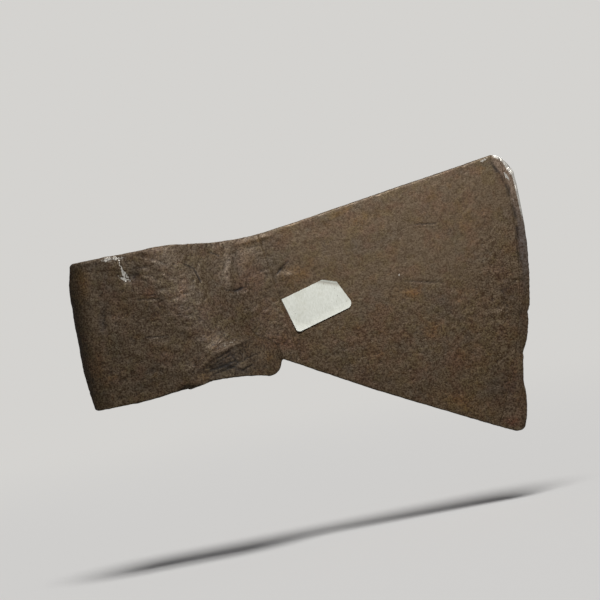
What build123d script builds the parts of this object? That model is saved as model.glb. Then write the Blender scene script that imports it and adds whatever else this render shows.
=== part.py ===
from build123d import *
import math
import os

# A forged broad axe head, without its haft, and the paper stock label stuck on its side.
#
# Frame, in millimetres: the origin is the centre of the eye, the hole that the haft goes
# through. +Z runs up the eye and the haft leaves downwards. +X points from the eye to the
# cutting edge. +Y points to the flat back of the head, and the bevelled side faces -Y.

# ---------------------------------------------------------------- driving dimensions

# The eye, seen from above: round at the poll, straight along the flat back, with a belly.
EYE_LENGTH = 60.0
EYE_WIDTH = 22.0
EYE_BELLY_STARTS_X = 0.0

# The socket: one iron strap folded round the eye, with a flange down each side of the blade.
POLL_X = -39.5
POLL_BULGE = 3.0
POLL_CORNER_RADIUS = 2.0
POLL_ROUNDING = 13.0
SOCKET_HALF_WIDTH = 16.0
SOCKET_TOP = 38.0
SOCKET_BOTTOM = -37.8
CROWN_RISE = 0.3
BACK_FLANGE_END_X = 58.0
LIP = 0.7
# Where the bevelled side leaves the socket and where it reaches the blade: further forward
# at the bottom of the head than at the top, over this much height.
FALL_AT_TOP = (-6.0, 60.0)
FALL_AT_BOTTOM = (30.0, 72.0)
FALL_HEIGHT = 84.0

# The blade plate, flat on its back, which thins from its root to its edge.
ROOT_THICKNESS = 10.0
EDGE_THICKNESS = 3.6
TONGUE_THICKNESS = 5.0

# The steel bit: its cutting edge is an arc, and it is scarfed into the back of the plate.
EDGE_X = 197.7
EDGE_CENTRE = (-34.3, 24.0)
EDGE_RADIUS = EDGE_X - EDGE_CENTRE[0]
EDGE_TOP_Z = 42.0
EDGE_LOW_Z = -44.0
EDGE_LAND = 0.8
BIT_DEPTH_BACK = 34.0
BIT_DEPTH_FRONT = 5.0
BEVEL_ANGLE = 57.0

# The rough lump of iron lapped over the front bottom corner of the socket.
LUMP_FORWARD = 3.5
LUMP_PROUD = 1.5
LUMP_BACK_Y = 8.0

# The paper label, with its lower corners round and its upper right one worn away.
LABEL_LENGTH = 31.75
LABEL_WIDTH = 19.05
LABEL_THICKNESS = 0.3
LABEL_CENTRE = (84.6, -4.9)
LABEL_TURN = 15.0
LABEL_RIGHT_RADIUS = 3.0
LABEL_LEFT_RADIUS = 2.0

# Worked out from the dimensions above.
BACK_Y = SOCKET_HALF_WIDTH
TONGUE_Y = BACK_Y - ROOT_THICKNESS
EYE_HALF_WIDTH = EYE_WIDTH / 2
EYE_BACK_X = -EYE_LENGTH / 2
EYE_FRONT_X = EYE_LENGTH / 2
BLADE_TAPER = (ROOT_THICKNESS - EDGE_THICKNESS) / (EDGE_X - EYE_FRONT_X)

# Longer than any part of the head, for the solids that only cut.
REACH = 300.0


# ---------------------------------------------------------------- helpers

def wall(plan):
    """The solid that stands on a plan outline, above and below the middle of the eye."""
    return extrude(plan, amount=REACH / 2, both=True)


def through(side_view):
    """The solid that runs right through the head behind a side view outline."""
    return extrude(Plane.XZ * side_view, amount=REACH / 2, both=True)


def blade_front(x):
    """Y of the bevelled side of the blade at a distance x along the head."""
    return TONGUE_Y + (x - EYE_FRONT_X) * BLADE_TAPER


def edge_point(z):
    """The point on the arc of the cutting edge at a height z, in side view."""
    return (EDGE_CENTRE[0] + math.sqrt(EDGE_RADIUS ** 2 - (z - EDGE_CENTRE[1]) ** 2), z)


# ---------------------------------------------------------------- outlines in side view

def head_outline():
    """The whole head from the side, as a face in X and Z, without the lump."""
    poll_top = (POLL_X + POLL_BULGE, SOCKET_TOP)
    poll_bottom = (POLL_X + POLL_BULGE, SOCKET_BOTTOM)
    crown_end = (12.0, SOCKET_TOP + CROWN_RISE)
    neck_dip = (38.0, 35.7)
    neck_end = (66.0, 36.0)
    toe_start = (187.5, 53.0)
    toe_bend = (193.2, 49.5)
    toe_end = edge_point(EDGE_TOP_Z)
    wear_start = edge_point(EDGE_LOW_Z)
    wear_hollow = (182.8, -56.5)
    wear_end = (181.4, -68.7)
    heel_belly = (180.6, -78.0)
    heel_start = (178.4, -86.0)
    heel_bend = (176.6, -89.0)
    heel_end = (172.8, -89.5)
    lower_belly = (140.0, -72.8)
    notch = (61.4, -30.0)
    chin = (25.0, -33.2)
    socket_front = (-13.0, SOCKET_BOTTOM)

    along_crown = (1, 0)
    up_the_blade = (toe_start[0] - neck_end[0], toe_start[1] - neck_end[1])
    outline = [
        Line(poll_top, crown_end),
        Spline(crown_end, neck_dip, neck_end, tangents=[along_crown, up_the_blade]),
        Line(neck_end, toe_start),
        ThreePointArc(toe_start, toe_bend, toe_end),
        ThreePointArc(toe_end, edge_point(0), wear_start),
        ThreePointArc(wear_start, wear_hollow, wear_end),
        ThreePointArc(wear_end, heel_belly, heel_start),
        ThreePointArc(heel_start, heel_bend, heel_end),
        ThreePointArc(heel_end, lower_belly, notch),
        Line(notch, chin),
        Line(chin, socket_front),
        Line(socket_front, poll_bottom),
        ThreePointArc(poll_bottom, (POLL_X, 0), poll_top),
    ]
    face = make_face(Wire(outline))
    poll_corners = [corner for corner in face.vertices() if corner.X < EYE_BACK_X]
    return fillet(poll_corners, POLL_CORNER_RADIUS)


def lump_outline():
    """The lump from the side: a bean under the front of the eye."""
    left = (12.6, -35.6)
    left_bend = (16.0, -27.0)
    ridge_start = (24.0, -21.0)
    ridge_top = (42.0, -14.0)
    ridge_end = (55.0, -18.0)
    right_bend = (61.0, -26.0)
    right = (60.5, -32.0)
    tip_bend = (57.5, -36.2)
    tip = (52.0, -36.6)
    underside = (38.0, -34.0)
    bottom_left = (25.0, -33.4)
    outline = [
        ThreePointArc(left, left_bend, ridge_start),
        ThreePointArc(ridge_start, ridge_top, ridge_end),
        ThreePointArc(ridge_end, right_bend, right),
        ThreePointArc(right, tip_bend, tip),
        ThreePointArc(tip, underside, bottom_left),
        Line(bottom_left, left),
    ]
    return make_face(Wire(outline))


def bevel_outline():
    """A face whose right side is the cutting edge, carried on past the toe and the heel."""
    above = EDGE_RADIUS / 2
    below = -EDGE_RADIUS / 2
    past_toe = edge_point(above)
    wear_start = edge_point(EDGE_LOW_Z)
    past_heel = (176.3, below)
    outline = [
        ThreePointArc(past_toe, edge_point(0), wear_start),
        Line(wear_start, past_heel),
        Line(past_heel, (0, below)),
        Line((0, below), (0, above)),
        Line((0, above), past_toe),
    ]
    return make_face(Wire(outline))


# ---------------------------------------------------------------- outlines in plan

def eye_outline():
    """The eye from above: a D with its straight side along the flat back of the head."""
    round_x = EYE_BACK_X + EYE_HALF_WIDTH
    belly_start = (EYE_BELLY_STARTS_X, -EYE_HALF_WIDTH)
    tongue_front = (EYE_FRONT_X, TONGUE_Y)
    tongue_back = (EYE_FRONT_X, TONGUE_Y + TONGUE_THICKNESS)
    outline = [
        Line((round_x, EYE_HALF_WIDTH), tongue_back),
        Line(tongue_back, tongue_front),
        TangentArc(belly_start, tongue_front, tangent=(1, 0)),
        Line(belly_start, (round_x, -EYE_HALF_WIDTH)),
        ThreePointArc((round_x, -EYE_HALF_WIDTH), (EYE_BACK_X, 0), (round_x, EYE_HALF_WIDTH)),
    ]
    return make_face(Wire(outline))


def socket_outline(fall):
    """The outside of the socket from above, out to the ends of its two flanges."""
    fall_start_x, fall_end_x = fall
    round_x = POLL_X + POLL_ROUNDING
    flank_y = BACK_Y - POLL_ROUNDING
    fall_start = (fall_start_x, -BACK_Y)
    flange_end = (fall_end_x, blade_front(fall_end_x) - LIP)
    flange_root = (fall_end_x, blade_front(fall_end_x) + LIP)
    outline = [
        Line((BACK_FLANGE_END_X, BACK_Y), (round_x, BACK_Y)),
        RadiusArc((round_x, BACK_Y), (POLL_X, flank_y), -POLL_ROUNDING),
        Line((POLL_X, flank_y), (POLL_X, -flank_y)),
        RadiusArc((POLL_X, -flank_y), (round_x, -BACK_Y), -POLL_ROUNDING),
        Line((round_x, -BACK_Y), fall_start),
        Spline(fall_start, flange_end, tangents=[(1, 0), (1, BLADE_TAPER)]),
        Line(flange_end, flange_root),
        Line(flange_root, (BACK_FLANGE_END_X, BACK_Y)),
    ]
    return make_face(Wire(outline))


def blade_outline():
    """The blade and bit from above, with the tongue that enters between the flanges."""
    past_edge_x = EDGE_X + ROOT_THICKNESS
    corners = [
        (EYE_FRONT_X, TONGUE_Y),
        (past_edge_x, blade_front(past_edge_x)),
        (past_edge_x, BACK_Y),
        (BACK_FLANGE_END_X, BACK_Y),
        (BACK_FLANGE_END_X, BACK_Y - LIP),
        (EYE_FRONT_X, TONGUE_Y + TONGUE_THICKNESS),
    ]
    return make_face(Polyline(*corners, close=True))


# ---------------------------------------------------------------- solids shared by the parts

def socket_outside():
    """The outside of the socket, taller than the head, with its warped bevelled side."""
    top = Pos(0, 0, FALL_HEIGHT / 2) * socket_outline(FALL_AT_TOP)
    bottom = Pos(0, 0, -FALL_HEIGHT / 2) * socket_outline(FALL_AT_BOTTOM)
    return loft([bottom, top], ruled=True)


def bevelled_blade():
    """Blade and bit as one, with the bevel ground along the front of the edge."""
    flat_blade = wall(blade_outline()) & through(head_outline())
    land_front = Plane.XZ.offset(EDGE_LAND - BACK_Y)
    ground = extrude(land_front * bevel_outline(), amount=ROOT_THICKNESS, taper=BEVEL_ANGLE)
    land = Pos(0, BACK_Y - EDGE_LAND / 2, 0) * Box(2 * REACH, EDGE_LAND, REACH)
    return flat_blade & (ground + land)


def iron_side_of_scarf():
    """Everything on the iron's side of the joint between plate and bit: a round solid whose
    rim runs behind the cutting edge and slopes from the back of the blade to the front."""
    front_radius = EDGE_RADIUS - BIT_DEPTH_FRONT
    back_radius = EDGE_RADIUS - BIT_DEPTH_BACK
    half_depth = 2 * BACK_Y
    rim = [
        (0, -half_depth),
        (front_radius, -half_depth),
        (front_radius, blade_front(EDGE_X) + LIP),
        (back_radius, BACK_Y - LIP),
        (back_radius, half_depth),
        (0, half_depth),
    ]
    turned = revolve(make_face(Polyline(*rim, close=True)), axis=Axis.Y)
    return Pos(EDGE_CENTRE[0], 0, EDGE_CENTRE[1]) * turned


# ---------------------------------------------------------------- the parts

def socket_strap():
    """The folded strap: its outside, less the eye and the slot that the plate fills."""
    outside = socket_outside() & through(head_outline())
    return outside - wall(eye_outline()) - wall(blade_outline())


def blade_plate():
    """The iron of the blade, whose tongue closes the front of the eye."""
    return bevelled_blade() & iron_side_of_scarf()


def steel_bit():
    """The steel of the cutting edge, thin at the back of its scarf and full at the bevel."""
    return bevelled_blade() - iron_side_of_scarf()


def lapped_lump(strap, plate):
    """The patch whose face follows the strap's but stands proud of it."""
    blank = extrude(Plane.XZ.offset(-LUMP_BACK_Y) * lump_outline(), amount=REACH / 2)
    proud_of_strap = Pos(LUMP_FORWARD, -LUMP_PROUD, 0) * socket_outside()
    return (blank & proud_of_strap) - strap - plate - wall(eye_outline())


def stock_label():
    """The paper, lying on the bevelled side of the blade."""
    right_x = LABEL_LENGTH / 2
    top_y = LABEL_WIDTH / 2
    right_start = (right_x - LABEL_RIGHT_RADIUS, -top_y)
    right_end = (right_x, LABEL_RIGHT_RADIUS - top_y)
    left_start = (-right_x, LABEL_LEFT_RADIUS - top_y)
    left_end = (LABEL_LEFT_RADIUS - right_x, -top_y)
    worn_corner_low = (13.6, 5.4)
    worn_corner_high = (7.3, top_y)
    top_left = (-right_x, top_y)
    right_corner = RadiusArc(right_start, right_end, -LABEL_RIGHT_RADIUS)
    upper_side = Polyline(right_end, worn_corner_low, worn_corner_high, top_left, left_start)
    left_corner = RadiusArc(left_start, left_end, -LABEL_LEFT_RADIUS)
    lower_side = Line(left_end, right_start)
    x, z = LABEL_CENTRE
    side_of_blade = Plane(
        origin=(x, blade_front(x), z),
        x_dir=(1, BLADE_TAPER, 0),
        z_dir=(BLADE_TAPER, -1, 0),
    )
    paper = make_face(right_corner + upper_side + left_corner + lower_side)
    return extrude(side_of_blade * Rot(0, 0, LABEL_TURN) * paper, amount=LABEL_THICKNESS)


strap = socket_strap()
plate = blade_plate()
nodes = {
    "socket_strap": strap,
    "blade_plate": plate,
    "steel_bit": steel_bit(),
    "lapped_lump": lapped_lump(strap, plate),
    "stock_label": stock_label(),
}

os.makedirs("parts", exist_ok=True)
for name, solid in nodes.items():
    export_step(solid, f"parts/{name}.step")
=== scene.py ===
import math

import bmesh
import bpy
import numpy as np
from mathutils import Matrix, Vector


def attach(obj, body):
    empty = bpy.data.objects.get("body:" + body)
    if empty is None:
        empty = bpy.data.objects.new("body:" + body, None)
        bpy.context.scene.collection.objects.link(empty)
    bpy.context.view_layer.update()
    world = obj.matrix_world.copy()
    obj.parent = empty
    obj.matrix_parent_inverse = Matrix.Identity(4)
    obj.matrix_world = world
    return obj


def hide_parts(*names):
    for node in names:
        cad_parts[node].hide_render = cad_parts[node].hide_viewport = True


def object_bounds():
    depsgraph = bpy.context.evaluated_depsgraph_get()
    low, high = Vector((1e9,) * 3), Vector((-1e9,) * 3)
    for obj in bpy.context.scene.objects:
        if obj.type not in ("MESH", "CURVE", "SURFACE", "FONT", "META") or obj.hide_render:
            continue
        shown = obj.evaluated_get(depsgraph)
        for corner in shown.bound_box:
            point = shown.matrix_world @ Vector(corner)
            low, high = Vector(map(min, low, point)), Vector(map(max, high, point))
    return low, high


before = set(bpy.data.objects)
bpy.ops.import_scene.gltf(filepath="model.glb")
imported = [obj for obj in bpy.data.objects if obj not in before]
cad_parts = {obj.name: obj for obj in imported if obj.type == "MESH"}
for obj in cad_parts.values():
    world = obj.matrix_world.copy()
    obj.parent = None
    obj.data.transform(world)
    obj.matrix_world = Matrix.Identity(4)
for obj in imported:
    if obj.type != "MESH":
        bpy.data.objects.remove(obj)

# The forged head of a broad axe, seen from its bevelled side, with a paper stock label on it.
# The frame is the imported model's: origin at the centre of the eye, +X to the cutting edge,
# +Z up the eye, -Y towards the bevelled side. Shapes are worked out in millimetres, because
# they are small, and turned into metres where a mesh is made.

MM = 0.001
CAD_LOW, CAD_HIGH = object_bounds()

# Grid size of the iron's skin, and how many times it is smoothed to round its worn arrises.
# The smoothing draws the thin cutting edge in, so the edge is carried out again by the last.
SKIN_PITCH = 0.6
ARRIS_PASSES = 6
EDGE_DRAWN_IN = 0.6

# The blade, with the CAD model's sizes: flat on its back, and thinner towards its edge.
BACK_Y = 16.0
EYE_FRONT_X = 30.0
EDGE_X = 197.7
ROOT_THICKNESS = 10.0
EDGE_THICKNESS = 3.6

# The welds between the strap's flanges and the tongue of the plate. LIP is the thickness of
# each scarf's thin end. The front flange ends further forward at the bottom of the head.
TONGUE_THICKNESS = 5.0
TONGUE_TIP_X = EYE_FRONT_X - 5.0
LIP = 0.7
FLANGE_END_X = 66.0
FLANGE_END_LEAN = 12.0 / 84.0
BACK_FLANGE_END_X = 58.0

# The cutting edge is an arc, and the steel bit reaches this far behind it on each side.
EDGE_CENTRE = (-34.3, 24.0)
EDGE_RADIUS = EDGE_X - EDGE_CENTRE[0]
BIT_DEPTH_BACK = 34.0
BIT_DEPTH_FRONT = 5.0

# The socket's rough skin dies out over the blade's root, and is gone at this x.
ROOT_END_X = 84.0

# Half widths of a scratch's groove and of the painted shadow along its bottom.
GROOVE_HALF_WIDTH = 0.7
SHADOW_HALF_WIDTH = 0.6

# The paper label, with its centre in side view and its turn in degrees. It is made of rows and
# columns of faces, so that it can curl.
LABEL_ROWS = 48
LABEL_COLUMNS = 80
LABEL_LENGTH = 31.75
LABEL_WIDTH = 19.05
LABEL_THICKNESS = 0.28
LABEL_CENTRE = (84.6, -4.9)
LABEL_TURN = 15.0
LABEL_RIGHT_RADIUS = 3.0
LABEL_LEFT_RADIUS = 2.0
LABEL_WORN_CORNER = (
    (7.3, LABEL_WIDTH / 2),
    (13.6, 5.4),
    (LABEL_LENGTH / 2, LABEL_RIGHT_RADIUS - LABEL_WIDTH / 2),
)


# ------------------------------------------------------------------ noise on arrays of points

def lattice(cell, seed):
    """A repeatable random number from 0 to 1 for each whole-number cell of a grid."""
    keys = (73856093, 19349663, 83492791)
    mixed = np.full(len(cell), 2654435761 * (seed + 1) % 2**32, np.uint64)
    for axis, key in enumerate(keys):
        mixed ^= (cell[:, axis].astype(np.int64) & 0xFFFFFFFF).astype(np.uint64) * np.uint64(key)
    mixed &= np.uint64(0xFFFFFFFF)
    for shift, factor in ((16, 2246822519), (13, 3266489917)):
        mixed = ((mixed ^ (mixed >> np.uint64(shift))) * np.uint64(factor)) & np.uint64(0xFFFFFFFF)
    mixed ^= mixed >> np.uint64(16)
    return mixed.astype(float) / 2**32


def noise(points, size, seed):
    """Smooth noise from -1 to 1, with features about as large as size."""
    scaled = points / size
    cell = np.floor(scaled).astype(np.int64)
    part = scaled - cell
    ease = part * part * (3 - 2 * part)
    total = np.zeros(len(points))
    for corner in np.ndindex(2, 2, 2):
        weight = np.ones(len(points))
        for axis in range(3):
            weight *= ease[:, axis] if corner[axis] else 1 - ease[:, axis]
        total += weight * lattice(cell + np.array(corner), seed)
    return 2 * total - 1


def layered(points, size, seed, layers=3):
    """Noise with finer and fainter layers on top."""
    total = np.zeros(len(points))
    for layer in range(layers):
        total += noise(points, size / 2**layer, seed + layer) / 2**layer
    return total


def creases(points, size, seed):
    """0 nearly everywhere, rising to 1 along thin winding lines."""
    return np.clip(1 - np.abs(noise(points, size, seed)) * 5, 0, 1) ** 2


def pits(points, size, seed):
    """Round pits on a jittered grid: 1 at the middle of a pit and 0 outside it."""
    scaled = points / size
    cell = np.floor(scaled).astype(np.int64)
    depth = np.zeros(len(points))
    for step in np.ndindex(3, 3, 3):
        near = cell + np.array(step) - 1
        middle = np.stack([near[:, axis] + lattice(near, seed + axis) for axis in range(3)], 1)
        radius = 0.15 + 0.45 * lattice(near, seed + 3) ** 2
        away = np.linalg.norm(scaled - middle, axis=1) / radius
        depth = np.maximum(depth, np.clip(1 - away**2, 0, 1) * radius / 0.6)
    return depth


def fade(value, low, high):
    """0 at low, 1 at high, and smooth between, in either direction."""
    part = np.clip((value - low) / (high - low), 0, 1)
    return part * part * (3 - 2 * part)


def along_and_across(x, z, turn):
    """How far a place lies along and across a direction turned some degrees up from +X."""
    c = math.cos(math.radians(turn))
    s = math.sin(math.radians(turn))
    return x * c + z * s, z * c - x * s


def spot(points, x, z, half_length, half_height, turn=0.0):
    """A soft oval spot in side view: 1 in its middle and 0 at its rim."""
    along, across = along_and_across(points[:, 0] - x, points[:, 2] - z, turn)
    u = along / half_length
    v = across / half_height
    return fade(np.sqrt(u * u + v * v), 1.0, 0.0)


def stroke(points, start, end, half_width):
    """A soft straight line in side view, from start to end, fainter at its ends."""
    a = np.array(start, float)
    along = np.array(end, float) - a
    side = points[:, [0, 2]] - a
    t = np.clip(side @ along / (along @ along), 0, 1)
    away = np.linalg.norm(side - t[:, None] * along, axis=1)
    taper = np.sqrt(np.clip(4 * t * (1 - t), 0, 1))
    return fade(away, half_width, 0.0) * (0.4 + 0.6 * taper)


def drawn_out(points, turn, stretch):
    """The points turned in side view and squeezed along that direction, so that noise on them
    comes out as streaks."""
    along, across = along_and_across(points[:, 0], points[:, 2], turn)
    return np.stack([along / stretch, points[:, 1], across], 1)


def all_spots(points, rows):
    """The sum of some spots, each a row of amount, x, z, half length, half height and turn."""
    total = np.zeros(len(points))
    for amount, x, z, half_length, half_height, turn in rows:
        total += amount * spot(points, x, z, half_length, half_height, turn)
    return total


# ------------------------------------------------------------------ meshes

def new_object(name, data):
    """A new object in the scene that holds a mesh, a light or a camera."""
    made = bpy.data.objects.new(name, data)
    bpy.context.scene.collection.objects.link(made)
    return made


def points_of(mesh):
    """The mesh's vertices in millimetres, one row for each."""
    flat = np.zeros(len(mesh.vertices) * 3, np.float32)
    mesh.vertices.foreach_get("co", flat)
    return flat.reshape(-1, 3).astype(float) / MM


def normals_of(mesh):
    flat = np.zeros(len(mesh.vertices) * 3, np.float32)
    mesh.vertex_normals.foreach_get("vector", flat)
    return flat.reshape(-1, 3).astype(float)


def set_points(mesh, points):
    mesh.vertices.foreach_set("co", (points * MM).astype(np.float32).ravel())
    mesh.update()


def add_field(mesh, name, values):
    """Stores a number from 0 to 1 for each vertex, for the materials to read."""
    field = mesh.attributes.new(name, "FLOAT", "POINT")
    field.data.foreach_set("value", np.clip(values, 0, 1).astype(np.float32))


def neighbour_mean(mesh, values, passes=1):
    """Each vertex's value replaced by the mean of its neighbours' values, some times over."""
    ends = np.zeros(len(mesh.edges) * 2, np.int32)
    mesh.edges.foreach_get("vertices", ends)
    first, second = ends.reshape(-1, 2).T
    here = np.concatenate([first, second])
    there = np.concatenate([second, first])
    count = np.bincount(here, minlength=len(values))
    for _ in range(passes):
        values = np.bincount(here, values[there], minlength=len(count)) / np.maximum(count, 1)
    return values


def convexity(mesh, passes):
    """Above 0 on arrises and bumps and below 0 in hollows, over a width that grows with passes."""
    points = points_of(mesh)
    rounded = np.stack([neighbour_mean(mesh, points[:, axis], passes) for axis in range(3)], 1)
    return np.sum((points - rounded) * normals_of(mesh), axis=1)


def applied(made):
    """The object's mesh with its modifiers applied, in place of the one it had."""
    graph = bpy.context.evaluated_depsgraph_get()
    mesh = bpy.data.meshes.new_from_object(made.evaluated_get(graph))
    made.modifiers.clear()
    old = made.data
    made.data = mesh
    bpy.data.meshes.remove(old)
    return mesh


def remesh(made, pitch, smooth_passes):
    """The object's mesh made again as one even skin of a given pitch, and then smoothed."""
    modifier = made.modifiers.new("remesh", "REMESH")
    modifier.mode = "VOXEL"
    modifier.voxel_size = pitch * MM
    modifier = made.modifiers.new("smooth", "SMOOTH")
    modifier.factor = 0.5
    modifier.iterations = smooth_passes
    return applied(made)


def copy_of_nodes(name, *nodes):
    """A new object that holds a copy of the meshes of some CAD nodes."""
    joined = bmesh.new()
    for node in nodes:
        joined.from_mesh(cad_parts[node].data)
    bmesh.ops.remove_doubles(joined, verts=joined.verts, dist=1e-6)
    mesh = bpy.data.meshes.new(name)
    joined.to_mesh(mesh)
    joined.free()
    return new_object(name, mesh)


def closed_solid(name, points, faces):
    """An object of a closed shape in millimetres, its faces cut into triangles facing out."""
    mesh = bpy.data.meshes.new(name)
    mesh.from_pydata([Vector(p) * MM for p in points], [], faces)
    solid = bmesh.new()
    solid.from_mesh(mesh)
    bmesh.ops.triangulate(solid, faces=solid.faces)
    bmesh.ops.recalc_face_normals(solid, faces=solid.faces)
    solid.to_mesh(mesh)
    solid.free()
    return new_object(name, mesh)


def rings_joined(name, rings):
    """A closed shape through rings of points, each with the same number of points."""
    count = len(rings[0])
    points = [point for ring in rings for point in ring]
    faces = [list(range(count)), list(range(len(points) - count, len(points)))]
    for ring in range(len(rings) - 1):
        for i in range(count):
            j = (i + 1) % count
            low = ring * count
            faces.append([low + i, low + j, low + count + j, low + count + i])
    return closed_solid(name, points, faces)


def cut(made, cutter, operation):
    """Cuts an object's mesh with another's. The mesh keeps its fields."""
    modifier = made.modifiers.new("cut", "BOOLEAN")
    modifier.operation = operation
    modifier.solver = "MANIFOLD"
    modifier.object = cutter
    return applied(made)


# ------------------------------------------------------------------ the welds between pieces

def blade_front(x):
    """Y of the bevelled side of the blade at a distance x along the head."""
    thinned = (x - EYE_FRONT_X) / (EDGE_X - EYE_FRONT_X)
    return BACK_Y - ROOT_THICKNESS + thinned * (ROOT_THICKNESS - EDGE_THICKNESS)


def blade_side_of_weld():
    """All that belongs to the blade and bit: the tongue, and everything past the flanges."""
    reach_x = 300.0
    reach_y = 60.0
    reach_z = 100.0
    tongue_back_y = BACK_Y - ROOT_THICKNESS + TONGUE_THICKNESS
    rings = []
    for z in (-reach_z, reach_z):
        end_x = FLANGE_END_X - FLANGE_END_LEAN * z
        rings.append([
            (TONGUE_TIP_X, blade_front(TONGUE_TIP_X), z),
            (end_x, blade_front(end_x), z),
            (end_x, -reach_y, z),
            (reach_x, -reach_y, z),
            (reach_x, reach_y, z),
            (BACK_FLANGE_END_X, reach_y, z),
            (BACK_FLANGE_END_X, BACK_Y - LIP, z),
            (EYE_FRONT_X, tongue_back_y, z),
            (TONGUE_TIP_X, tongue_back_y, z),
        ])
    return rings_joined("blade_side", rings)


def iron_side_of_scarf():
    """A round solid about the centre of the edge's arc, whose rim is the plate's scarf."""
    sides = 256
    reach_y = 60.0
    front_radius = EDGE_RADIUS - BIT_DEPTH_FRONT
    back_radius = EDGE_RADIUS - BIT_DEPTH_BACK
    rim = [
        (front_radius, -reach_y),
        (front_radius, blade_front(EDGE_X) + LIP),
        (back_radius, BACK_Y - LIP),
        (back_radius, reach_y),
    ]
    rings = []
    for radius, y in rim:
        angles = [2 * math.pi * side / sides for side in range(sides)]
        rings.append([
            (EDGE_CENTRE[0] + radius * math.cos(a), y, EDGE_CENTRE[1] + radius * math.sin(a))
            for a in angles
        ])
    return rings_joined("iron_side", rings)


def lump_side_of_weld():
    """The lump's own CAD solid, with its outer face carried out past the rough skin."""
    clearance = 0.01
    lump = copy_of_nodes("lump_side", "lapped_lump")
    shape = bmesh.new()
    shape.from_mesh(lump.data)
    outer = {v for face in shape.faces if face.normal.y < -0.3 for v in face.verts}
    for vertex in outer:
        vertex.co.y = CAD_LOW.y - clearance
    shape.to_mesh(lump.data)
    shape.free()
    return lump


# ------------------------------------------------------------------ the forged surface

# Single dents and raised places of the bevelled side: how far each stands out, its middle's x
# and z, its half length, half height and turn in degrees.
DENTS = (
    (-1.0, -4.5, 26.0, 7.0, 4.0, 30),
    (0.5, -12.0, 32.0, 8.0, 6.0, 0),
    (-0.9, 37.5, 20.0, 8.0, 13.0, -10),
    (0.45, 43.5, 20.0, 2.6, 13.0, -10),
    (-0.45, 48.0, 24.5, 6.0, 8.0, 0),
    (-0.35, 46.0, 9.2, 6.5, 2.2, -5),
    (-0.5, 69.6, 15.4, 4.0, 2.0, 40),
    (0.35, 72.0, 11.5, 5.0, 3.0, 0),
    (-0.5, -5.0, -23.0, 4.5, 3.2, 30),
    (-0.35, -23.5, 5.5, 3.5, 11.0, -8),
    (-0.6, 27.0, -27.5, 12.0, 4.5, 12),
    (-0.4, 38.0, -24.0, 11.0, 3.6, 14),
    (-0.3, 29.0, -15.4, 5.0, 3.0, 28),
    (0.3, 42.0, -30.5, 8.0, 3.0, 8),
)

# Raised ridges of the bevelled side: start, end, height and half width.
RIDGES = (
    ((50.0, 32.4), (68.0, 33.6), 0.30, 1.6),
    ((42.3, -4.6), (53.7, -2.7), 0.40, 3.0),
    ((61.5, 8.0), (66.5, 34.0), 0.16, 3.5),
    ((18.5, -27.0), (28.0, -20.4), 0.80, 2.2),
    ((27.0, -20.6), (45.0, -16.4), 1.05, 2.4),
    ((31.0, -15.6), (37.5, -11.8), 0.35, 1.1),
    ((36.0, -31.0), (44.5, -28.5), 0.40, 2.6),
)

# Cracks and scratches of the bevelled side: start, end, depth, how dark the bottom is painted
# as its shadow, and how much exposed metal shows on the lower lip, partly a painted highlight.
SCRATCHES = (
    ((-9.9, 35.0), (-8.6, 24.2), 0.22, 0.0, 0.66),
    ((-8.6, 29.5), (-5.6, 22.6), 0.22, 0.0, 0.42),
    ((-12.6, 28.4), (-8.0, 23.4), 0.16, 0.0, 0.30),
    ((-10.8, 26.2), (-6.0, 24.0), 0.16, 0.0, 0.34),
    ((-6.6, 33.6), (-5.4, 30.0), 0.16, 0.0, 0.24),
    ((-13.8, 31.0), (-10.4, 29.6), 0.12, 0.0, 0.25),
    ((-5.0, 13.9), (6.2, 12.3), 0.25, 0.6, 0.22),
    ((-1.0, 15.4), (5.5, 14.6), 0.16, 0.5, 0.10),
    ((-4.1, -5.6), (7.6, -7.3), 0.28, 0.7, 0.35),
    ((35.2, 31.1), (39.8, 28.2), 0.35, 1.0, 0.0),
    ((21.4, 27.4), (26.1, 24.3), 0.35, 1.0, 0.0),
    ((26.1, 24.3), (28.4, 16.6), 0.35, 1.0, 0.0),
    ((44.0, 8.8), (48.5, 10.0), 0.45, 1.0, 0.0),
    ((39.5, 10.3), (44.0, 9.2), 0.30, 0.6, 0.0),
    ((66.8, 13.4), (69.6, 16.0), 0.35, 1.0, 0.05),
    ((70.0, 16.6), (74.0, 18.8), 0.20, 0.7, 0.0),
    ((141.2, 25.2), (152.8, 23.4), 0.22, 0.6, 0.12),
    ((143.0, 23.4), (151.0, 21.8), 0.10, 0.2, 0.0),
    ((131.0, -2.5), (151.4, -7.4), 0.20, 0.5, 0.12),
    ((137.0, -4.6), (148.0, -7.6), 0.10, 0.2, 0.0),
    ((174.2, 36.5), (177.6, 19.1), 0.08, 0.0, 0.10),
    ((159.5, 0.5), (159.7, -11.3), 0.08, 0.0, 0.10),
    ((159.7, -11.3), (162.5, -22.7), 0.08, 0.0, 0.10),
    ((162.0, 4.0), (163.0, -8.0), 0.06, 0.0, 0.06),
    ((24.5, -28.2), (30.5, -27.6), 0.50, 1.0, 0.0),
    ((30.5, -27.6), (38.5, -25.6), 0.45, 1.0, 0.0),
    ((29.0, -23.0), (36.0, -20.5), 0.35, 0.8, 0.0),
    ((40.5, -31.2), (46.5, -29.4), 0.45, 0.9, 0.0),
    ((43.0, -26.0), (49.5, -24.5), 0.30, 0.6, 0.0),
)


def facing_front(normals, low=0.2, high=0.7):
    """1 on the bevelled side and 0 on the back and the ends."""
    return fade(-normals[:, 1], low, high)


def on_socket(points, full_at_x):
    """1 on the socket, up to full_at_x, and 0 on the blade."""
    return fade(points[:, 0], ROOT_END_X, full_at_x)


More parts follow.
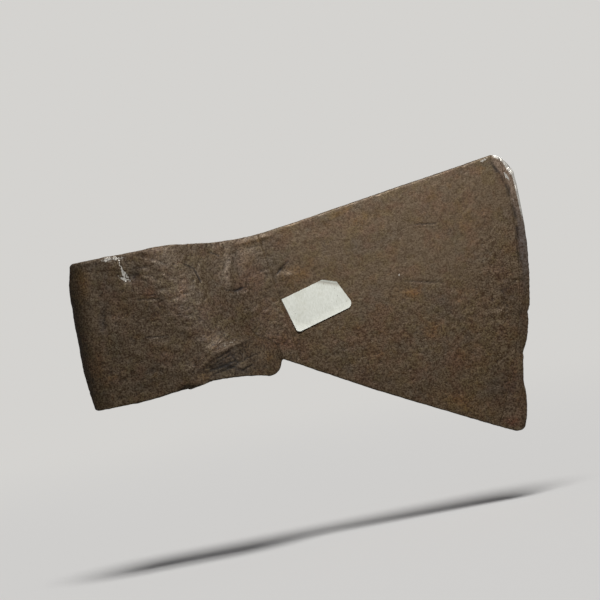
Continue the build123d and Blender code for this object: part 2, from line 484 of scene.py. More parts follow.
def coarseness(points):
    """How rough the skin is: 1 on the socket and along the bottom of the blade, less above."""
    x, z = points[:, 0], points[:, 2]
    socket = on_socket(points, 44.0)
    low_blade = fade(z, 14.0, -34.0)
    near_edge = fade(x, 162.0, 184.0) * fade(z, 34.0, 0.0)
    return np.clip(0.28 + 0.62 * socket + 0.55 * low_blade + 0.55 * near_edge, 0, 1)


def folded(points):
    """Where the lump is folded and torn: 1 in its middle, and less at its smooth front end."""
    return spot(points, 33.0, -26.0, 24.0, 12.0, 14.0) ** 0.5


def lump_cracks(points):
    """The thin winding cracks of the lump: 1 along them and 0 elsewhere."""
    return creases(drawn_out(points, 18, 1.8), 4.4, seed=45)


def forging_lines(points):
    """Fine lines that the smith's hammer left near the top of the socket, bent round in arcs."""
    x, z = points[:, 0] + 4.0, points[:, 2] - 10.0
    radius = np.hypot(x, z)
    turned = np.stack([radius, np.arctan2(z, x) * 4.0, points[:, 1] * 0.2], 1)
    return noise(turned, 1.25, seed=71) * spot(points, 6.0, 28.0, 20.0, 12.0, -20)


def placed_marks(points):
    """How far the dents, ridges, cracks and scratches of the bevelled side stand out or in."""
    marks = all_spots(points, DENTS) + 0.6 * forging_lines(points)
    for start, end, height, half_width in RIDGES:
        marks += height * stroke(points, start, end, half_width)
    striations = noise(drawn_out(points, 32, 5.0), 1.2, seed=51)
    marks += 0.22 * striations * spot(points, 34.0, -16.5, 10.0, 4.0, 24)
    for start, end, depth, _, _ in SCRATCHES:
        marks -= depth * stroke(points, start, end, GROOVE_HALF_WIDTH)
    return marks


def relief(points, normals):
    """How far the surface stands out (or, below 0, in) at each point, in millimetres."""
    coarse = coarseness(points)
    socket = on_socket(points, 44.0)
    patchy = fade(noise(points, 22.0, seed=14), -0.5, 0.5)
    under_blade = fade(-normals[:, 2], 0.3, 0.9) * fade(points[:, 0], 80.0, 110.0)
    clear_of_back = points[:, 1] < 10.0
    torn = folded(points) * clear_of_back

    # Hammered unevenness, broad and then fine, with streaks along the socket.
    out = (0.12 + 0.45 * socket) * noise(points, 17.0, seed=1)
    out += (0.07 + 0.15 * socket) * noise(points, 8.0, seed=2)
    out += (0.03 + 0.11 * coarse) * layered(points, 2.8, seed=5)
    out += 0.11 * socket * noise(drawn_out(points, 0, 3.5), 1.4, seed=8)
    out += 0.25 * under_blade

    # Rust pits, large in patches and small everywhere.
    out -= 0.20 * coarse * pits(points, 3.1, seed=11) * patchy
    out -= (0.04 + 0.12 * coarse) * pits(points, 1.7, seed=17)

    # The lump's torn and folded iron.
    out += 0.24 * torn * layered(drawn_out(points, 14, 1.8), 3.6, seed=41)
    out += 0.28 * torn * layered(points, 1.8, seed=48, layers=2)
    out -= 0.45 * torn * lump_cracks(points)
    return out + facing_front(normals) * placed_marks(points)


def end_wear(points):
    """How far the surface is pushed along X, in millimetres: the cutting edge is set back by
    its nicks and uneven wear, and the top corner of the poll is hammered in."""
    x, z = points[:, 0], points[:, 2]
    nicks = 0.7 * fade(np.abs(z + 31.0), 5.0, 0.0) + 0.5 * fade(np.abs(z + 50.0), 4.0, 0.0)
    uneven = 0.15 * (noise(points * [0, 0, 1], 6.0, seed=31) + 1)
    toe = 0.9 * fade(z, 41.0, 48.0) - 0.4 * fade(np.abs(z - 32.0), 9.0, 0.0)
    set_back = fade(x, 168.0, 178.0) * (nicks + uneven + toe - EDGE_DRAWN_IN)
    hammered_in = 1.3 * fade(z, 22.0, 38.0) * fade(x, -24.0, -36.0)
    return hammered_in - set_back


def on_label(points, margin):
    """1 under the paper label and 0 beyond the margin round it."""
    dx = points[:, 0] - LABEL_CENTRE[0]
    dz = points[:, 2] - LABEL_CENTRE[1]
    along, across = along_and_across(dx, dz, LABEL_TURN)
    past_ends = np.abs(along) - LABEL_LENGTH / 2
    past_sides = np.abs(across) - LABEL_WIDTH / 2
    return fade(np.maximum(past_ends, past_sides), margin, 0.0)


# Patches of colour on the bevelled side: amount, x, z, half length, half height and turn.
OCHRE_PATCHES = (
    (1.0, 132.5, -9.0, 8.0, 4.5, -10),
    (0.6, 126.0, -8.0, 10.0, 6.0, 0),
    (1.0, 75.5, 12.0, 11.0, 6.5, -12),
    (0.9, 106.0, 38.8, 9.0, 2.6, 17),
    (0.5, 113.0, 32.0, 12.0, 6.0, 17),
    (1.0, 17.5, -31.6, 10.0, 3.2, 8),
    (0.7, 21.5, -30.0, 6.0, 4.0, 20),
    (0.6, 60.0, 33.0, 12.0, 3.0, 4),
    (0.5, 54.0, -26.0, 8.0, 7.0, 0),
    (0.7, -30.0, 27.0, 6.0, 13.0, -6),
    (0.4, -31.0, -12.0, 6.0, 22.0, -8),
    (0.5, 147.0, -70.0, 30.0, 8.0, -27),
    (0.5, 142.0, -30.0, 12.0, 7.0, 0),
    (0.4, 168.0, 22.0, 10.0, 8.0, 0),
)
RED_PATCHES = (
    (0.9, 60.0, -20.0, 13.0, 7.0, -20),
    (0.7, 1.0, 15.5, 9.0, 5.0, 0),
    (1.0, 171.0, -84.5, 9.0, 4.0, -15),
    (0.6, 73.0, -14.0, 12.0, 8.0, 0),
    (0.6, 4.0, -18.0, 7.0, 7.0, 0),
    (0.5, 52.0, 14.0, 12.0, 16.0, 0),
    (0.6, 176.0, -70.0, 12.0, 20.0, 0),
    (0.5, 152.0, -45.0, 16.0, 10.0, -20),
    (0.4, 156.0, 30.0, 14.0, 9.0, 10),
)
GREY_PATCHES = (
    (0.9, 36.5, 19.0, 7.0, 14.0, -8),
    (0.8, 47.5, 25.5, 5.5, 8.0, 0),
    (0.8, -5.0, -23.0, 4.0, 3.0, 30),
    (0.8, -18.5, 27.0, 9.0, 10.0, 0),
    (0.6, -19.5, -6.0, 4.5, 12.0, -8),
    (0.6, 149.6, -10.0, 6.0, 14.0, 0),
    (0.5, 120.0, 20.0, 26.0, 9.0, 12),
    (0.7, 184.0, 47.0, 5.0, 4.0, -40),
    (0.2, 31.0, -24.5, 11.0, 4.0, 16),
    (0.5, 130.0, -52.0, 10.0, 8.0, -20),
    (0.5, 160.0, 18.0, 8.0, 7.0, 0),
)
# Dark patches: partly dirt and dark scale, and partly painted shade, as where the socket falls away to
# the blade and beneath and beside the lump's ridge.
DARK_PATCHES = (
    (0.6, -3.5, 25.0, 6.0, 3.5, 35),
    (0.6, -24.0, 5.0, 3.5, 10.0, -8),
    (0.8, 69.6, 15.4, 3.5, 2.0, 40),
    (0.8, 46.5, 9.4, 4.5, 1.8, 5),
    (0.45, 183.0, -18.0, 8.0, 26.0, 4),
    (0.4, 172.0, -66.0, 16.0, 18.0, 0),
    (0.45, 28.0, -28.5, 14.0, 4.0, 8),
    (0.55, 36.0, -25.0, 14.0, 6.0, 10),
    (0.35, 33.0, -28.5, 11.0, 3.5, 10),
    (0.30, 23.5, -12.0, 5.0, 3.5, 20),
    (0.22, 24.5, -3.0, 14.0, 13.0, 0),
    (0.12, -21.0, 15.0, 8.0, 14.0, -8),
    (0.45, 28.5, -14.6, 4.5, 3.5, 30),
    (0.4, 44.0, -31.0, 12.0, 4.0, 4),
    (0.35, 100.0, -46.0, 40.0, 7.0, -29),
)
# Bright patches: partly exposed metal, and partly painted glints and highlights, as on the lump's
# ridge and lower rim, at the toe and on the socket's scratches.
BARE_AND_GLINT_PATCHES = (
    (0.9, 183.2, 51.0, 4.0, 1.2, 17),
    (1.0, -14.5, 36.9, 8.0, 2.6, 2),
    (0.8, -9.0, 36.0, 5.0, 2.0, -10),
    (0.32, -9.0, 27.5, 4.5, 7.5, 10),
    (0.50, 18.0, -31.2, 8.5, 2.4, 8),
    (0.62, 35.5, -16.9, 10.5, 1.7, 14.5),
    (0.35, 35.5, 13.5, 5.5, 2.2, 20),
    (0.30, 46.0, 32.8, 5.0, 1.6, 4),
    (0.22, 60.0, 33.2, 10.0, 1.2, 4),
    (0.35, -10.0, -26.5, 3.5, 2.0, 20),
    (0.45, 193.4, 40.0, 1.0, 4.0, 22),
    (1.0, 193.0, 40.6, 1.2, 4.2, 24),
    (0.6, 194.0, 27.5, 0.8, 2.2, 8),
    (0.8, 128.7, 1.1, 1.2, 0.9, 20),
    (0.6, 136.1, 2.7, 0.7, 1.1, 0),
    (0.20, 108.0, 40.0, 8.0, 1.0, 17),
)

# The toe's bright corner, worn steel that is painted white as a highlight, from the blade's top
# edge round to the cutting edge.
TOE_CORNER = ((188.0, 52.6), (192.6, 49.8), (196.4, 41.0))

# Places polished by handling, and painted highlights and glints, as on the lump's ridge and
# at its lower rim: amount, x, z, half length, half height and turn.
WORN_AND_LIT_PATCHES = (
    (1.0, 50.0, 26.0, 27.0, 13.0, 6),
    (0.9, 37.0, 22.0, 8.0, 12.0, -8),
    (0.4, -31.0, 2.0, 7.0, 34.0, -8),
    (0.5, 132.0, 4.0, 55.0, 24.0, 12),
    (1.0, 36.0, -16.8, 11.0, 2.2, 14),
    (1.0, 18.5, -31.2, 9.0, 2.6, 8),
    (0.8, 50.5, -25.0, 6.0, 6.0, 0),
)


def store_rust(mesh, points, front, uneven):
    """The fields of ochre rust, red rust and grey scale, which cover the back in broad areas."""
    behind = 1 - front
    broad = noise(points, 26.0, seed=61)
    ochre = all_spots(points, OCHRE_PATCHES) * front + 0.5 * behind * fade(broad, 0.0, 0.7)
    red = all_spots(points, RED_PATCHES) * front + 0.5 * behind * fade(-broad, 0.0, 0.7)
    add_field(mesh, "ochre", ochre * uneven)
    add_field(mesh, "red", red * uneven)
    add_field(mesh, "grey", all_spots(points, GREY_PATCHES) * front * uneven)


def store_dark_and_bright(mesh, points, normals, front, uneven):
    """The fields of the ground bevel, of dirt and painted shade, and of exposed metal and painted
    glints and highlights.
    """
    x, z = points[:, 0], points[:, 2]
    behind_edge = EDGE_RADIUS - np.hypot(x - EDGE_CENTRE[0], z - EDGE_CENTRE[1])
    upper = fade(z, -26.0, 4.0) * front
    bevel_end = 4.8 + 4.5 * fade(z, 33.0, 50.0) + 0.7 * noise(points * [0, 0, 1], 7.0, seed=67)
    broken = fade(layered(points, 3.2, seed=68, layers=2), -1.1, 0.5) * fade(z, 52.0, 46.0)
    bevel_line = fade(np.abs(behind_edge - bevel_end), 1.7, 0.2) * upper * broken
    add_field(mesh, "bevel", fade(behind_edge, bevel_end, bevel_end - 1.4) * upper)
    add_field(mesh, "toe", fade(z, 8.0, 34.0))

    # The lump's cracks are painted dark, as shade in them; the dark patches are partly painted shade.
    dark = all_spots(points, DARK_PATCHES) + 0.75 * folded(points) * lump_cracks(points)
    bare_and_glint = all_spots(points, BARE_AND_GLINT_PATCHES) * np.clip(uneven, 0.5, 1)
    lower_lip = points + [0, 0, GROOVE_HALF_WIDTH]
    # Each dark scratch bottom is painted shadow, and the bright line on its lower lip is a painted
    # highlight of exposed metal catching the light.
    for start, end, _, darkness, shine in SCRATCHES:
        dark += darkness * stroke(points, start, end, SHADOW_HALF_WIDTH)
        shines = lower_lip if darkness else points
        bare_and_glint += shine * stroke(shines, start, end, GROOVE_HALF_WIDTH)
    dark_front = (dark * np.clip(uneven, 0.6, 1.2) + 0.9 * bevel_line) * front
    top_edge = 0.6 * fade(normals[:, 2], 0.2, 0.6) * fade(x, 90.0, 135.0) * fade(x, 184.0, 176.0)
    add_field(mesh, "dark", np.maximum(dark_front, top_edge))

    # The cutting edge's rim and the toe's corner are exposed steel, painted white as a highlight.
    rim = fade(behind_edge, 1.6, 0.5) * fade(z, 8.0, 30.0)
    toe_corner = sum(stroke(points, a, b, 1.9) for a, b in zip(TOE_CORNER, TOE_CORNER[1:]))
    add_field(mesh, "bare_and_glint", bare_and_glint * front + 0.95 * np.maximum(rim, toe_corner))


def store_wear(mesh, points, normals):
    """The fields that the iron's materials read: where it is worn, pitted, rusty or worn through, and
    where shade, highlights and glints are painted.
    """
    outside_eye = (points[:, 1] < 0) | (points[:, 0] > EYE_FRONT_X)
    front = facing_front(normals, 0.1, 0.6) * outside_eye
    uneven = np.clip(0.75 + 0.5 * layered(points, 6.0, seed=63), 0, 1.5)
    arris = fade(convexity(mesh, 6), 0.05, 0.24)
    # The rubbed field: worn arrises and places, partly painted highlights and glints on the lump's
    # ridge and lower rim.
    add_field(mesh, "rubbed_and_lit", arris + all_spots(points, WORN_AND_LIT_PATCHES) * front)
    # hollow marks concave places, whose darkening in the materials is painted shade.
    add_field(mesh, "hollow", fade(convexity(mesh, 2), -0.015, -0.07))
    add_field(mesh, "coarse", coarseness(points))
    add_field(mesh, "socket", on_socket(points, 50.0))
    store_rust(mesh, points, front, uneven)
    store_dark_and_bright(mesh, points, normals, front, uneven)


def lump_welded_in(mesh, points):
    """The points with the step round the lump hammered down, most of all at its front end."""
    x, y, z = points.T
    softened = np.stack([neighbour_mean(mesh, points[:, axis], 60) for axis in range(3)], 1)
    round_lump = fade(spot(points, 37.0, -23.0, 38.0, 21.0, 8.0), 0.0, 0.2) * fade(z, -33.0, -29.0)
    rear_corner = spot(points, 13.0, -35.0, 7.0, 6.0) ** 0.5
    outer_faces = y < 0.35 * (x - 12.0) - 13.0
    share = np.maximum(round_lump, rear_corner) * outer_faces
    return points + share[:, None] * (softened - points)


def forged_skin():
    """The whole iron head in one closed skin, with its worn arrises, dents and pits."""
    head = copy_of_nodes("head", "socket_strap", "blade_plate", "steel_bit", "lapped_lump")
    mesh = remesh(head, SKIN_PITCH, ARRIS_PASSES)
    set_points(mesh, lump_welded_in(mesh, points_of(mesh)))
    points = points_of(mesh)
    normals = normals_of(mesh)
    out = relief(points, normals)
    beneath = on_label(points, 2.0) * facing_front(normals)
    out += beneath * (np.minimum(out, -0.02) - out)
    moved = points + normals * out[:, None]
    moved[:, 0] += end_wear(points)
    low = np.array(CAD_LOW) / MM
    high = np.array(CAD_HIGH) / MM
    moved = np.clip(moved, low, high)
    set_points(mesh, moved)
    store_wear(mesh, moved, normals_of(mesh))
    return head


def piece_from(skin, name, node, cutters):
    """A piece of the skin, cut out along its welds, that stands for one CAD node."""
    piece = new_object(name, skin.data.copy())
    for cutter, operation in cutters:
        cut(piece, cutter, operation)
    piece.data.polygons.foreach_set("use_smooth", [True] * len(piece.data.polygons))
    piece.data.set_sharp_from_angle(angle=math.radians(60))
    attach(piece, "root")
    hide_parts(node)
    return piece


# ------------------------------------------------------------------ the paper label

def rounded_end(v, radius):
    """How far along the label its round corner has drawn in at a height v above its centre."""
    drop = max(radius - LABEL_WIDTH / 2 - v, 0)
    return radius - math.sqrt(max(radius**2 - drop**2, 0))


def label_right_side(v):
    """How far the label reaches to the right of its centre at a height v above its centre."""
    for (upper_u, upper_v), (lower_u, lower_v) in zip(LABEL_WORN_CORNER, LABEL_WORN_CORNER[1:]):
        if lower_v < v <= upper_v:
            return lower_u + (v - lower_v) / (upper_v - lower_v) * (upper_u - lower_u)
    return LABEL_LENGTH / 2 - rounded_end(v, LABEL_RIGHT_RADIUS)


def from_worn_corner(u, v):
    """How far a place on the label lies beyond the line along which its worn corner curls."""
    return 0.56 * u + 0.83 * v - 10.4


def label_lift(u, v):
    """How far the paper stands off the iron: its worn corner curls up, and its lower edge and
    lower left corner have come loose."""
    curl = 0.20 * max(0.0, from_worn_corner(u, v)) ** 1.6
    lower_edge = 0.45 * max(0.0, (-v - 5.5) / 4.0) ** 2
    lower_left = 0.16 * max(0.0, -0.7 * u - 0.7 * v - 12.5)
    wrinkle = 0.04 * max(0.0, math.sin(0.55 * u + 0.2 * v))
    return curl + lower_edge + lower_left + wrinkle


def paper_label():
    """A thin closed sheet in rows and columns, which lies on the side of the blade."""
    half_v = LABEL_WIDTH / 2
    front = []
    back = []
    place = []
    for row in range(LABEL_ROWS + 1):
        v = -half_v * math.cos(math.pi * row / LABEL_ROWS)
        left = rounded_end(v, LABEL_LEFT_RADIUS) - LABEL_LENGTH / 2
        right = label_right_side(v)
        for column in range(LABEL_COLUMNS + 1):
            u = left + (right - left) * column / LABEL_COLUMNS
            right_by, up_by = along_and_across(u, v, -LABEL_TURN)
            x = LABEL_CENTRE[0] + right_by
            z = LABEL_CENTRE[1] + up_by
            y = blade_front(x) - label_lift(u, v)
            back.append((x, y, z))
            front.append((x, y - LABEL_THICKNESS, z))
            place.append((u, v))
    count = len(front)
    width = LABEL_COLUMNS + 1
    faces = []
    for row in range(LABEL_ROWS):
        for column in range(LABEL_COLUMNS):
            a = row * width + column
            faces.append([a, a + 1, a + 1 + width, a + width])
            faces.append([count + a, count + a + width, count + a + 1 + width, count + a + 1])
    rim = list(range(width))
    rim += [row * width + LABEL_COLUMNS for row in range(1, LABEL_ROWS + 1)]
    rim += [LABEL_ROWS * width + column for column in range(LABEL_COLUMNS - 1, -1, -1)]
    rim += [row * width for row in range(LABEL_ROWS - 1, 0, -1)]
    for here, there in zip(rim, rim[1:] + rim[:1]):
        faces.append([there, here, count + here, count + there])
    label = closed_solid("paper_stock_label", front + back, faces)
    u, v = np.array(place + place).T
    beyond = from_worn_corner(u, v)
    # crease is the band along the fold of the curled corner, where shade is painted.
    add_field(label.data, "crease", fade(beyond, -1.6, 0.4) * fade(beyond, 1.2, 0.6))
    label.data.polygons.foreach_set("use_smooth", [True] * len(label.data.polygons))
    label.data.set_sharp_from_angle(angle=math.radians(40))
    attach(label, "root")
    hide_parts("stock_label")
    return label


# ------------------------------------------------------------------ materials

class Shading:
    """Short names for the few shader nodes that the materials are made of. Sizes in millimetres."""

    def __init__(self, name):
        self.material = bpy.data.materials.new(name)
        self.material.use_nodes = True
        self.tree = self.material.node_tree
        self.shader = self.tree.nodes["Principled BSDF"]
        self.place = self.tree.nodes.new("ShaderNodeTexCoord").outputs["Object"]

    def put(self, socket, value):
        """Links a node's output to a socket, or sets the socket to a constant."""
        if isinstance(value, bpy.types.NodeSocket):
            self.tree.links.new(value, socket)
        else:
            socket.default_value = value

    def noise(self, size, detail=3.0, roughness=0.6, stretch=(1, 1, 1)):
        """Noise from 0 to 1 with features about as large as size."""
        mapping = self.tree.nodes.new("ShaderNodeMapping")
        mapping.inputs["Scale"].default_value = stretch
        self.put(mapping.inputs["Vector"], self.place)
        texture = self.tree.nodes.new("ShaderNodeTexNoise")
        self.put(texture.inputs["Vector"], mapping.outputs["Vector"])
        texture.inputs["Scale"].default_value = 1 / (size * MM)
        texture.inputs["Detail"].default_value = detail
        texture.inputs["Roughness"].default_value = roughness
        return texture.outputs["Fac"]

    def field(self, name):
        """A field that the mesh stores under this name."""
        attribute = self.tree.nodes.new("ShaderNodeAttribute")
        attribute.attribute_name = name
        return attribute.outputs["Fac"]

    def spread(self, value, low, high, new_low=0.0, new_high=1.0):
        """value from low..high, smoothly, to new_low..new_high."""
        node = self.tree.nodes.new("ShaderNodeMapRange")
        node.interpolation_type = "SMOOTHSTEP"
        self.put(node.inputs["Value"], value)
        for socket, number in (("From Min", low), ("From Max", high),
                               ("To Min", new_low), ("To Max", new_high)):
            node.inputs[socket].default_value = number
        return node.outputs["Result"]

    def math(self, operation, a, b):
        node = self.tree.nodes.new("ShaderNodeMath")
        node.operation = operation
        self.put(node.inputs[0], a)
        self.put(node.inputs[1], b)
        return node.outputs["Value"]

    def times(self, a, b):
        return self.math("MULTIPLY", a, b)

    def blend(self, factor, a, b):
        node = self.tree.nodes.new("ShaderNodeMix")
        for socket, value in zip(("Factor", "A", "B"), (factor, a, b)):
            self.put(node.inputs[socket], value)
        return node.outputs["Result"]

    def mix(self, factor, a, b, how="MIX"):
        node = self.tree.nodes.new("ShaderNodeMix")
        node.data_type = "RGBA"
        node.blend_type = how
        self.put(node.inputs["Factor"], factor)
        self.put(node.inputs["A"], (*a, 1) if isinstance(a, tuple) else a)
        self.put(node.inputs["B"], (*b, 1) if isinstance(b, tuple) else b)
        return node.outputs["Result"]

    def bump(self, height, distance):
        node = self.tree.nodes.new("ShaderNodeBump")
        node.inputs["Distance"].default_value = distance * MM
        self.put(node.inputs["Height"], height)
        self.put(self.shader.inputs["Normal"], node.outputs["Normal"])


# What the patches do to the brown under them: each is a factor for red, green and blue.
OCHRE = (1.55, 1.18, 0.60)
RED_RUST = (1.20, 0.84, 0.74)
BLUE_GREY = (0.74, 0.88, 1.20)
# SOCKET_SHADE paints the socket darker than the blade, as shade where the light falls off towards the
# poll.
SOCKET_SHADE = (0.82, 0.84, 0.88)
# SHADE darkens dirt and dark scale, and paints shade into hollows, creases and cracks.
SHADE = (0.22, 0.20, 0.20)

# Faint tints all over the iron: the factor, the patches' size in millimetres, the levels of the
# noise between which they come in, and how strong they are.
FAINT_TINTS = (
    ((1.08, 0.86, 0.80), 11.0, 0.46, 0.64, 0.6),
    ((1.00, 1.00, 0.76), 8.0, 0.46, 0.62, 0.7),
    ((0.86, 0.95, 1.12), 14.0, 0.50, 0.66, 0.6),
    (OCHRE, 5.0, 0.58, 0.74, 0.3),
)

# The colours of worn places and painted highlights, of exposed metal and painted glints, and of
# the bevel at the toe and lower down.
RUBBED_AND_LIT = (0.240, 0.180, 0.120)
BARE_METAL_AND_GLINT = (0.86, 0.82, 0.74)
BEVEL_TAN = (0.230, 0.165, 0.120)
BEVEL_GREY = (0.130, 0.108, 0.098)

# The dark and the light brown of each iron piece.
BODY_BROWNS = ((0.044, 0.020, 0.004), (0.156, 0.110, 0.064))
BIT_BROWNS = ((0.042, 0.020, 0.006), (0.150, 0.107, 0.066))
LUMP_BROWNS = ((0.040, 0.018, 0.004), (0.140, 0.099, 0.058))

# The paper, its stain, its specks and the painted shade along its crease.
PAPER_LOW = (0.65, 0.66, 0.585)
PAPER_HIGH = (0.76, 0.77, 0.70)
PAPER_STAIN = (0.54, 0.53, 0.43)
PAPER_SPECK = (0.20, 0.18, 0.15)
PAPER_CREASE_SHADE = (0.33, 0.29, 0.23)


def iron(name, browns, least_roughness, depth):
    """Patinated wrought iron or steel, with pitting of some depth in millimetres."""
    m = Shading(name)
    dark_brown, light_brown = browns

    # Brown, speckled more strongly where the skin is coarse, with faint tints everywhere.
    coarse = m.field("coarse")
    grain = m.noise(0.85, detail=2.0, roughness=0.55)
    grit = m.noise(1.5)
    crest = m.math("ADD", m.times(grain, 0.68), m.times(grit, 0.32))
    rough_tone = m.spread(crest, 0.38, 0.62, 0.0, 0.9)
    calm_tone = m.spread(crest, 0.32, 0.68, 0.3, 0.85)
    tone = m.blend(coarse, calm_tone, rough_tone)
    colour = m.mix(tone, dark_brown, light_brown)
    # The socket painted darker, as shade where the light falls off towards the poll.
    colour = m.mix(m.field("socket"), colour, SOCKET_SHADE, "MULTIPLY")
    for tint, size, low, high, amount in FAINT_TINTS:
        patches = m.spread(m.noise(size, detail=5.0, roughness=0.62), low, high, 0.0, amount)
        colour = m.mix(patches, colour, tint, "MULTIPLY")

    # The placed rust and scale, and the ground bevel.
    broken = m.spread(grit, 0.36, 0.60, 0.35, 1.0)
    colour = m.mix(m.times(m.field("red"), broken), colour, RED_RUST, "MULTIPLY")
    colour = m.mix(m.times(m.field("grey"), broken), colour, BLUE_GREY, "MULTIPLY")
    colour = m.mix(m.times(m.field("ochre"), broken), colour, OCHRE, "MULTIPLY")
    bevel = m.mix(m.field("toe"), BEVEL_GREY, BEVEL_TAN)
    bevel = m.mix(m.spread(crest, 0.38, 0.60, 0.8, 0.0), bevel, colour)
    colour = m.mix(m.times(m.field("bevel"), 0.9), colour, bevel)

    # Worn places and painted highlights, dirt and painted shade in hollows, creases and cracks, and
    # exposed metal and painted glints.
    rubbed_and_lit = m.times(m.field("rubbed_and_lit"), m.spread(grain, 0.35, 0.65, 0.3, 1.0))
    colour = m.mix(m.times(rubbed_and_lit, 0.30), colour, RUBBED_AND_LIT)
    colour = m.mix(m.times(m.field("hollow"), 1.6 * depth), colour, SHADE, "MULTIPLY")
    colour = m.mix(m.field("dark"), colour, SHADE, "MULTIPLY")
    speckled = m.math("ADD", m.field("bare_and_glint"), grain)
    bare_and_glint = m.times(m.spread(speckled, 0.80, 1.25), m.spread(m.field("bare_and_glint"), 0.0, 0.2))
    colour = m.mix(bare_and_glint, colour, BARE_METAL_AND_GLINT)

    m.put(m.shader.inputs["Base Color"], colour)
    m.put(m.shader.inputs["Metallic"], m.spread(bare_and_glint, 0.0, 0.6, 0.35, 0.7))
    smears = m.noise(2.8, detail=4.0)
    rough = m.spread(smears, 0.3, 0.7, least_roughness, least_roughness + 0.2)
    m.put(m.shader.inputs["Roughness"], m.math("SUBTRACT", rough, m.times(bare_and_glint, 0.2)))
    height = m.times(crest, m.spread(coarse, 0.0, 1.0, 0.4, 1.0))
    m.bump(height, depth)
    return m.material


def paper():
    """Matt off-white paper, faintly fibrous, with specks, handling marks and painted shade along its
    crease.
    """
    m = Shading("label_paper_old")
    fibres = m.noise(0.7, detail=4.0, roughness=0.65, stretch=(1, 1, 0.4))
    clouds = m.noise(6.0)
    colour = m.mix(m.spread(fibres, 0.3, 0.7), PAPER_LOW, PAPER_HIGH)
    colour = m.mix(m.spread(clouds, 0.50, 0.72, 0.0, 0.30), colour, PAPER_STAIN)
    specks = m.spread(m.noise(1.1, detail=1.0, roughness=0.4), 0.765, 0.785, 0.0, 0.6)
    colour = m.mix(specks, colour, PAPER_SPECK)
    colour = m.mix(m.times(m.field("crease"), 0.55), colour, PAPER_CREASE_SHADE)
    m.put(m.shader.inputs["Base Color"], colour)
    m.put(m.shader.inputs["Roughness"], m.spread(fibres, 0.3, 0.7, 0.72, 0.88))
    m.shader.inputs["Specular IOR Level"].default_value = 0.3
    m.bump(fibres, 0.03)
    return m.material


def give(piece, material):
    piece.data.materials.clear()
    piece.data.materials.append(material)


# ------------------------------------------------------------------ build

skin = forged_skin()
blade_side = blade_side_of_weld()
iron_side = iron_side_of_scarf()
lump_side = lump_side_of_weld()
strap = piece_from(skin, "socket_strap_forged", "socket_strap",
                   [(blade_side, "DIFFERENCE"), (lump_side, "DIFFERENCE")])
plate = piece_from(skin, "blade_plate_forged", "blade_plate",
                   [(blade_side, "INTERSECT"), (iron_side, "INTERSECT"), (lump_side, "DIFFERENCE")])
bit = piece_from(skin, "steel_bit_ground", "steel_bit",
                 [(blade_side, "INTERSECT"), (iron_side, "DIFFERENCE")])
lump = piece_from(skin, "lapped_lump_rough", "lapped_lump",
                  [(lump_side, "INTERSECT")])
for scrap in (skin, blade_side, iron_side, lump_side):
    bpy.data.objects.remove(scrap)
label = paper_label()

give(strap, iron("strap_patina", BODY_BROWNS, least_roughness=0.46, depth=0.30))
give(plate, iron("plate_patina", BODY_BROWNS, least_roughness=0.42, depth=0.28))
give(bit, iron("bit_patina", BIT_BROWNS, least_roughness=0.40, depth=0.28))
give(lump, iron("lump_patina", LUMP_BROWNS, least_roughness=0.62, depth=0.34))
give(label, paper())


# ------------------------------------------------------------------ studio

# Each pair is the colour that the camera sees and the dimmer one that lights the head.
BACKDROP = (0.66, 0.65, 0.63)
ROOM_LIGHT = (0.10, 0.10, 0.105)
FLOOR_PALE = (0.80, 0.79, 0.77)
FLOOR_BOUNCE = (0.25, 0.25, 0.24)

# The floor, in metres: how far below the head it lies, its radius, and between which distances
# from the head it fades into the backdrop.
FLOOR_DROP = 0.035
FLOOR_RADIUS = 9.0
FLOOR_SIDES = 96
FADE_START = 0.25
FADE_END = 1.6

centre = (CAD_LOW + CAD_HIGH) / 2


def seen_or_lighting(tree, seen, lighting):
    """A colour that is pale where the camera sees it, and dimmer as a source of light."""
    path = tree.nodes.new("ShaderNodeLightPath")
    node = tree.nodes.new("ShaderNodeMix")
    node.data_type = "RGBA"
    tree.links.new(path.outputs["Is Camera Ray"], node.inputs["Factor"])
    node.inputs["A"].default_value = (*lighting, 1)
    node.inputs["B"].default_value = (*seen, 1)
    return node.outputs["Result"]


def studio_floor():
    """A wide flat floor whose far parts fade into the backdrop, so that no horizon shows."""
    height = CAD_LOW.z - FLOOR_DROP
    points = [(0, 0, height)]
    faces = []
    for side in range(FLOOR_SIDES):
        angle = 2 * math.pi * side / FLOOR_SIDES
        points.append((FLOOR_RADIUS * math.cos(angle), FLOOR_RADIUS * math.sin(angle), height))
        faces.append([0, 1 + side, 1 + (side + 1) % FLOOR_SIDES])
    mesh = bpy.data.meshes.new("studio_floor")
    mesh.from_pydata(points, [], faces)
    floor = new_object("studio_floor", mesh)
    return floor


def pale_floor():
    m = Shading("pale_floor")
    m.put(m.shader.inputs["Base Color"], seen_or_lighting(m.tree, FLOOR_PALE, FLOOR_BOUNCE))
    m.shader.inputs["Roughness"].default_value = 0.95
    m.shader.inputs["Specular IOR Level"].default_value = 0.1
    glow = m.tree.nodes.new("ShaderNodeEmission")
    m.put(glow.inputs["Color"], seen_or_lighting(m.tree, BACKDROP, ROOM_LIGHT))
    distance = m.tree.nodes.new("ShaderNodeVectorMath")
    distance.operation = "LENGTH"
    m.put(distance.inputs[0], m.place)
    joined = m.tree.nodes.new("ShaderNodeMixShader")
    m.put(joined.inputs[0], m.spread(distance.outputs["Value"], FADE_START, FADE_END))
    m.put(joined.inputs[1], m.shader.outputs["BSDF"])
    m.put(joined.inputs[2], glow.outputs["Emission"])
    m.put(m.tree.nodes["Material Output"].inputs["Surface"], joined.outputs["Shader"])
    return m.material


def only_on(lamp, lit):
    """Keeps a lamp's light to some objects, so that the head and the floor are lit apart."""
    receivers = bpy.data.collections.new(lamp.name + "_receivers")
    for made in lit:
        receivers.objects.link(made)
    lamp.light_linking.receiver_collection = receivers


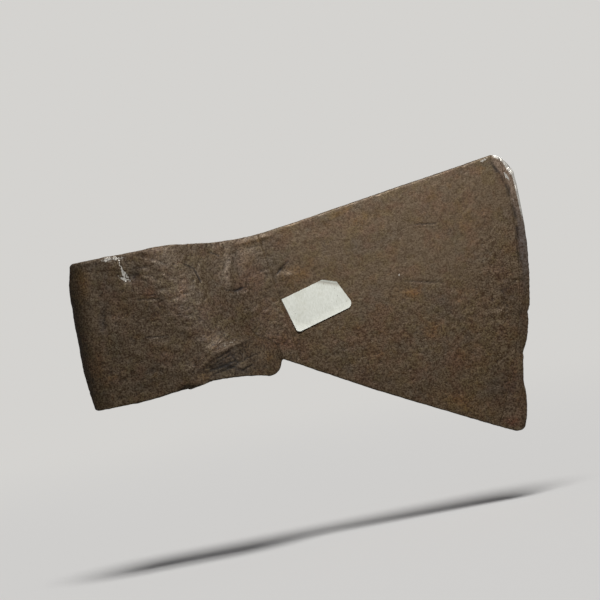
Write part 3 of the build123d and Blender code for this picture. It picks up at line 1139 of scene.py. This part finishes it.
def sun(name, towards, strength, softness, lit):
    """A light from far off that shines towards a direction. softness is its angle in degrees."""
    data = bpy.data.lights.new(name, "SUN")
    data.energy = strength
    data.angle = math.radians(softness)
    lamp = new_object(name, data)
    lamp.rotation_euler = Vector(towards).to_track_quat("-Z", "Y").to_euler()
    only_on(lamp, lit)


def softbox(name, place, aim, size, power, lit):
    """A rectangular light at a place, aimed at another, both measured from the head's centre."""
    data = bpy.data.lights.new(name, "AREA")
    data.shape = "RECTANGLE"
    data.size, data.size_y = size
    data.energy = power
    lamp = new_object(name, data)
    lamp.visible_camera = False
    lamp.location = centre + Vector(place)
    lamp.rotation_euler = (Vector(aim) - Vector(place)).to_track_quat("-Z", "Y").to_euler()
    only_on(lamp, lit)


head = [strap, plate, bit, lump, label]
floor = studio_floor()
give(floor, pale_floor())
softbox("key", place=(0.06, -0.25, 0.24), aim=(0.04, 0, 0.01), size=(0.10, 0.07), power=1.15, lit=head)
sun("top_light", towards=(-0.1, 0.3, -1.0), strength=0.6, softness=20, lit=head)
sun("edge_light", towards=(-0.9, 0.35, -0.5), strength=0.7, softness=12, lit=[bit])
sun("back_light", towards=(-0.3, -0.8, -0.6), strength=1.8, softness=30, lit=head)
sun("floor_light", towards=(-0.1, 0.3, -1.0), strength=2.3, softness=25, lit=[floor])

world = bpy.data.worlds.new("studio_world")
bpy.context.scene.world = world
world.use_nodes = True
backdrop = seen_or_lighting(world.node_tree, BACKDROP, ROOM_LIGHT)
world.node_tree.links.new(backdrop, world.node_tree.nodes["Background"].inputs["Color"])
bpy.context.scene.view_settings.view_transform = "Standard"

# ------------------------------------------------------------------ camera

# In metres: how wide the view is at the head, its middle, and how far off the camera stands.
VIEW_WIDTH = 0.307
VIEW_CENTRE = Vector((0.07605, 0, -0.0019))
CAMERA_DISTANCE = 1.2
CAMERA_ROLL = math.radians(11.0)

camera_data = bpy.data.cameras.new("camera")
camera_data.sensor_width = 36.0
camera_data.lens = camera_data.sensor_width * CAMERA_DISTANCE / VIEW_WIDTH
camera = new_object("camera", camera_data)
camera.location = VIEW_CENTRE + Vector((0, -CAMERA_DISTANCE, 0))
level = Matrix.Rotation(math.pi / 2, 4, "X")
camera.rotation_euler = (level @ Matrix.Rotation(-CAMERA_ROLL, 4, "Z")).to_euler()
bpy.context.scene.camera = camera
